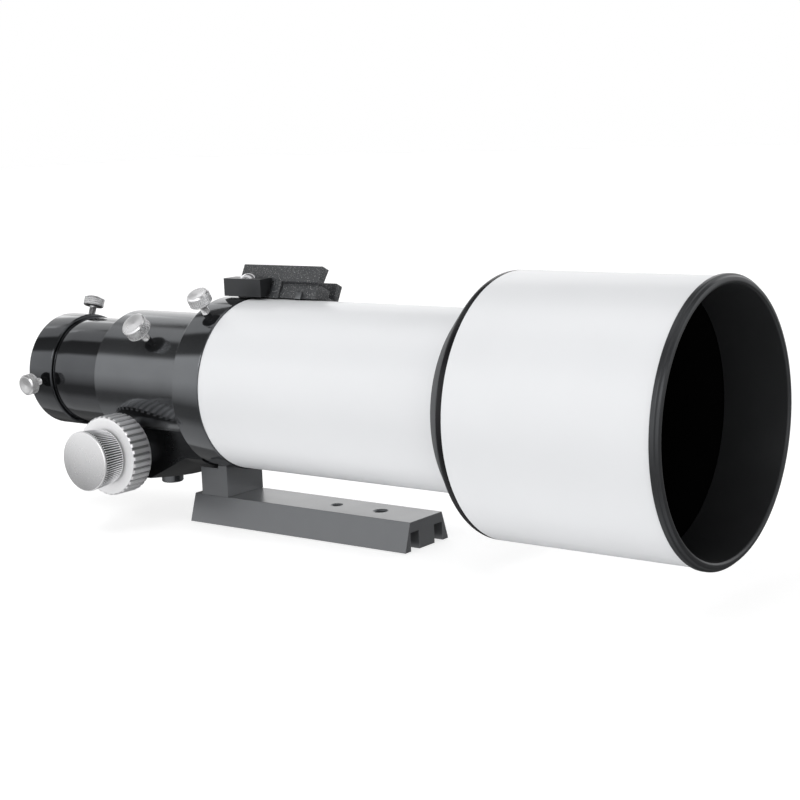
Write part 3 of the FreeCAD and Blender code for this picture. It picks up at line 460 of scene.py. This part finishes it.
def fine_knob():
    """Slightly conical knob, straight knurled up to a groove behind its smooth front edge."""
    length, rear, front, core = 14.5, 14.4, 15.8, 2
    slope = (front - rear) / length

    def side(station, sunk=0.0):
        return station, rear + slope * station - sunk

    profile = [(0, core), (0, rear - 0.5), (0.4, rear)] + [side(station) for station in (0.9, 4, 7, 10, 12.1)]
    profile += [
        side(12.4, 0.6), side(12.9, 0.6), side(13.1), (14, front - 0.1), (length, front - 0.6), (length, 0),
        (length - 3, 0), (length - 3, core),
    ]
    origin, axis = knob_origin("fine_knob", -1), (0, -1, 0)
    made = lathe("fine_fine_knob", rounded(profile, 0.15, 2), origin, axis, segments=KNURLS * 8,
                 shape=knurled(KNURLS, 0.75, 0.8, 12.2, rear), smooth=60)
    place(made, KNOB, "fine_focus", "fine_knob", slot="satin_nickel")
    # painted shade in the knurl grooves and on the rear side
    shade(made, origin, axis,
          lambda station, radius: 0.8 < station < 13 and 10 < radius < side(station, 0.45)[1], groove=BACK_SHADE)


def shade(obj, origin, axis, deep, groove=GROOVE_SHADE, face=NICKEL):
    """Painted shade: darker copies of the metal in the grooves and on the side that faces the body; the face
    material, brighter for a painted highlight, goes on outward faces; deep tells a groove from its station and
    radius in mm."""
    for extra in (groove, BACK_SHADE, face):
        obj.data.materials.append(extra)
    axis = Vector(axis).normalized()
    for poly in obj.data.polygons:
        along = poly.center - Vector(origin)
        station = along.dot(axis)
        radius = (along - axis * station).length
        # painted shade on faces turned towards the body
        if poly.normal.dot(axis) < -0.45:
            poly.material_index = 2
        # painted shade in the grooves
        elif deep(station / MM, radius / MM):
            poly.material_index = 1
        # outward faces take the face material, a painted highlight on the coarse knob
        elif poly.normal.dot(axis) > 0.9:
            poly.material_index = 3


def screw_axis(node):
    joint = [j for j in frame["joints"] if j["child"] == node][0]
    return Vector(joint["pos_m"]), Vector(joint["axis"]).normalized()


def diamond(reach, head, length, count):
    """Shape for a head's rim: a knurl of two crossing sets of slanted grooves."""
    pitch, depth = 1.15, 0.42

    def shape(station, radius, angle):
        if radius < head - 0.02 or not reach + 0.3 < station < reach + length - 0.3:
            return radius
        u = angle * count / (2 * math.pi)
        v = (station - reach) / pitch
        rising = abs(((u + v) % 1.0) - 0.5) * 2
        falling = abs(((u - v) % 1.0) - 0.5) * 2
        return radius - depth * (1 - min(rising, falling))
    return shape


def thumbscrew(node, reach, head, length, count):
    """Threaded stem of length reach under a knurled head with a dished face."""
    origin, axis = screw_axis(node)
    profile = [(0, 0), (0, STEM - 0.6), (0.6, STEM)]
    for turn in range(int((reach - 1.2) / THREAD_PITCH)):
        base = 0.8 + turn * THREAD_PITCH
        profile += [(base, STEM), (base + 0.35, STEM - 0.3), (base + 0.69, STEM)]
    profile += [(reach, STEM), (reach, head - 0.8), (reach + 0.6, head - 0.1)]
    rows, top = 17, reach + length
    profile += [(reach + 0.7 + (length - 1.6) * s / rows, head) for s in range(rows + 1)]
    profile += [
        (top - 0.8, head - 0.1), (top, head - 0.9), (top, head * 0.66), (top - 0.6, 0.3), (top - 0.6, 0),
    ]
    made = lathe("fine_" + node, [Vector(p) for p in profile], origin, axis, segments=count * 8,
                 shape=diamond(reach, head, length, count), smooth=24)
    place(made, NICKEL, node, node, slot="satin_nickel")
    # painted shade in the thread roots and on the underside of the head
    shade(made, origin, axis, lambda station, radius: station < reach and radius < STEM - 0.2)


def thumbscrews():
    for node in ("holder_screw_top", "holder_screw_side"):
        thumbscrew(node, 9.1, 5.75, 5.5, 30)
    thumbscrew("drawtube_lock_screw", 11.5, 7, 6.8, 36)
    thumbscrew("rotation_lock_screw", 12.2, 6.1, 6.2, 32)
    thumbscrew("finder_clamp_screw", 5.5, 5.75, 5.5, 30)


# ---- finder shoe -------------------------------------------------------------------------------

def saddle(first, last, steps=24):
    """Points on the hollow under the shoe, from one side position to another."""
    sides = [first + (last - first) * s / steps for s in range(steps + 1)]
    return [(y, math.sqrt(SADDLE_R ** 2 - y ** 2)) for y in sides]


def shoe_piece(name, outline, x0, x1, bevel, *replaced, look=CRINKLE):
    place(prism(name, outline, x0, x1, bevel), look, "optical_tube", *replaced, slot="textured_black")


def finder_shoe():
    """Floor and two rails of unequal length; the outer wall of the near side is hollow behind a pillar and
    a rib."""
    rear, front, far_front = -47.2, 5.7, -3.8
    low, lip, top = 49.0, 49.5, 58.2
    outer, wall, near, far = -19.5, -17.5, -18, 10.1
    shoe_piece("fine_shoe_floor", saddle(near, far) + [(far, low), (near, low)], rear, far_front, 0.25,
               "finder_shoe_base")
    shoe_piece("fine_shoe_front", saddle(near, -8, 8) + [(-8, low), (near, low)], far_front - 0.5, front - 1,
               0.25)
    shoe_piece("fine_shoe_pillar", saddle(outer, wall, 3) + [(wall, lip), (outer, lip)], -23.8, -18.6, 0.25)
    # painted highlight: the rib takes the lighter satin grey in place of the crinkle black
    shoe_piece("fine_shoe_rib", saddle(-19.3, wall, 3) + [(wall, 45), (-19.3, 44)], -7.4, -3.8, 0.4,
               look=GREY)
    shoe_piece("fine_near_rail", [(outer, lip), (outer, top), (-14.1, top), (-15.6, low), (near, low)],
               rear, front, 0.4, "finder_rail_near")
    shoe_piece("fine_far_rail", [(6.6, low), (5.1, top), (far, top), (far, low)], rear, far_front, 0.4,
               "finder_rail_far")


white_tube("main_tube", "optical_tube", 0.4, SEGMENTS)
white_tube("dew_shield_tube", "dew_shield", 0.25, SHIELD_SEGMENTS)
front_rim()
rear_ring()
collar()
keel()
holder()
draw_tube()
coarse_knob("coarse_knob_near", -1)
coarse_knob("coarse_knob_far", 1)
fine_knob()
thumbscrews()
finder_shoe()


# ---- stage, light and camera --------------------------------------------------------------------

def area_light(name, where, target, size, power, size_y=None):
    light = bpy.data.lights.new(name, "AREA")
    light.shape = "RECTANGLE"
    light.size = size
    light.size_y = size_y or size
    light.energy = power
    obj = bpy.data.objects.new(name, light)
    obj.location = where
    obj.rotation_euler = (Vector(target) - Vector(where)).to_track_quat("-Z", "Y").to_euler()
    bpy.context.scene.collection.objects.link(obj)
    return obj


def stage():
    size, drop = 6, -0.0005
    mesh = bpy.data.meshes.new("floor")
    mesh.from_pydata([(-size, -size, drop), (size, -size, drop), (size, size, drop), (-size, size, drop)],
                     [], [(0, 1, 2, 3)])
    floor = bpy.data.objects.new("floor", mesh)
    bpy.context.scene.collection.objects.link(floor)
    pale = material("pale_floor", (0.4, 0.4, 0.4), roughness=0.7, specular=0.1, tint=0.005, edge=0.0)
    shader = pale.node_tree.nodes["Principled BSDF"]
    shader.inputs["Emission Color"].default_value = (1, 1, 1, 1)
    shader.inputs["Emission Strength"].default_value = 0.72
    floor.data.materials.append(pale)
    floor.visible_glossy = False


# Brightness of the surroundings by height angle around the optical axis, in degrees: strips and dark flags.
BANDS = (
    (-90, 0.75), (-58, 0.6), (-44, 0.22), (-28, 0.2), (-14, 0.75), (4, 1.25), (38, 1.35), (44, 0.2),
    (72, 0.12), (77, 0.9), (90, 0.9),
)


def grey(level):
    return level, level, level, 1


def studio():
    """White backdrop for the camera, the bands for mirrored and diffuse light, dimmed low on the far side."""
    world = bpy.data.worlds.new("studio")
    bpy.context.scene.world = world
    world.use_nodes = True
    tree = world.node_tree
    sky = tree.nodes["Background"]
    where = add_node(tree, "SeparateXYZ")
    wire(tree, add_node(tree, "TexCoord").outputs["Generated"], where.inputs["Vector"])
    aside = add_node(tree, "Math", {"operation": "ABSOLUTE"})
    wire(tree, where.outputs["Y"], aside.inputs[0])
    around = add_node(tree, "Math", {"operation": "ARCTAN2"})
    wire(tree, where.outputs["Z"], around.inputs[0])
    wire(tree, aside.outputs["Value"], around.inputs[1])
    height = add_node(tree, "MapRange", From_Min=-math.pi / 2, From_Max=math.pi / 2)
    wire(tree, around.outputs["Value"], height.inputs["Value"])
    bands = add_node(tree, "ValToRGB")
    elements = bands.color_ramp.elements
    elements[0].color = grey(BANDS[0][1])
    elements[1].color = grey(BANDS[-1][1])
    for degrees, level in BANDS[1:-1]:
        elements.new((degrees + 90) / 180).color = grey(level)
    wire(tree, height.outputs["Result"], bands.inputs["Fac"])
    wire(tree, bands.outputs["Color"], sky.inputs["Color"])
    behind = add_node(tree, "Math", {"operation": "GREATER_THAN"})
    behind.inputs[1].default_value = 0.05
    wire(tree, where.outputs["Y"], behind.inputs[0])
    below = add_node(tree, "MapRange", From_Min=0.04, From_Max=-0.04)
    wire(tree, where.outputs["Z"], below.inputs["Value"])
    both = add_node(tree, "Math", {"operation": "MULTIPLY"})
    wire(tree, behind.outputs["Value"], both.inputs[0])
    wire(tree, below.outputs["Result"], both.inputs[1])
    dim = add_node(tree, "MapRange", To_Min=1.0, To_Max=0.35)
    wire(tree, both.outputs["Value"], dim.inputs["Value"])
    wire(tree, dim.outputs["Result"], sky.inputs["Strength"])
    backdrop = add_node(tree, "Background", Color=(1, 1, 1, 1))
    seen = add_node(tree, "MixShader")
    wire(tree, add_node(tree, "LightPath").outputs["Is Camera Ray"], seen.inputs["Fac"])
    wire(tree, sky.outputs["Background"], seen.inputs[1])
    wire(tree, backdrop.outputs["Background"], seen.inputs[2])
    wire(tree, seen.outputs["Shader"], tree.nodes["World Output"].inputs["Surface"])
    area_light("key", (0.5, -1.7, 1.1), (0, 0, 0.07), 1.2, 4, 0.5)
    area_light("top", (-0.3, -0.3, 1.7), (0, 0, 0.07), 1.6, 13, 0.6).visible_glossy = False
    area_light("rim", (-1.5, 0.6, 0.9), (0, 0, 0.07), 0.8, 2)


def camera():
    azimuth, elevation, roll = math.radians(37.50), math.radians(9.64), math.radians(-2.33)
    ahead = Vector((-math.sin(azimuth) * math.cos(elevation), math.cos(azimuth) * math.cos(elevation),
                    -math.sin(elevation)))
    right = Vector((math.cos(azimuth), math.sin(azimuth), 0))
    up = right.cross(ahead)
    tilted_right = right * math.cos(roll) + up * math.sin(roll)
    tilted_up = up * math.cos(roll) - right * math.sin(roll)
    data = bpy.data.cameras.new("view")
    data.sensor_width = 36
    data.lens = 77.16
    data.clip_start = 0.02
    eye = bpy.data.objects.new("view", data)
    turn = Matrix((tilted_right, tilted_up, -ahead)).transposed()
    eye.matrix_world = Matrix.Translation(Vector((0.5574, -0.6509, 0.2105))) @ turn.to_4x4()
    bpy.context.scene.collection.objects.link(eye)
    bpy.context.scene.camera = eye


stage()
studio()
camera()
bpy.context.scene.view_settings.view_transform = "Standard"
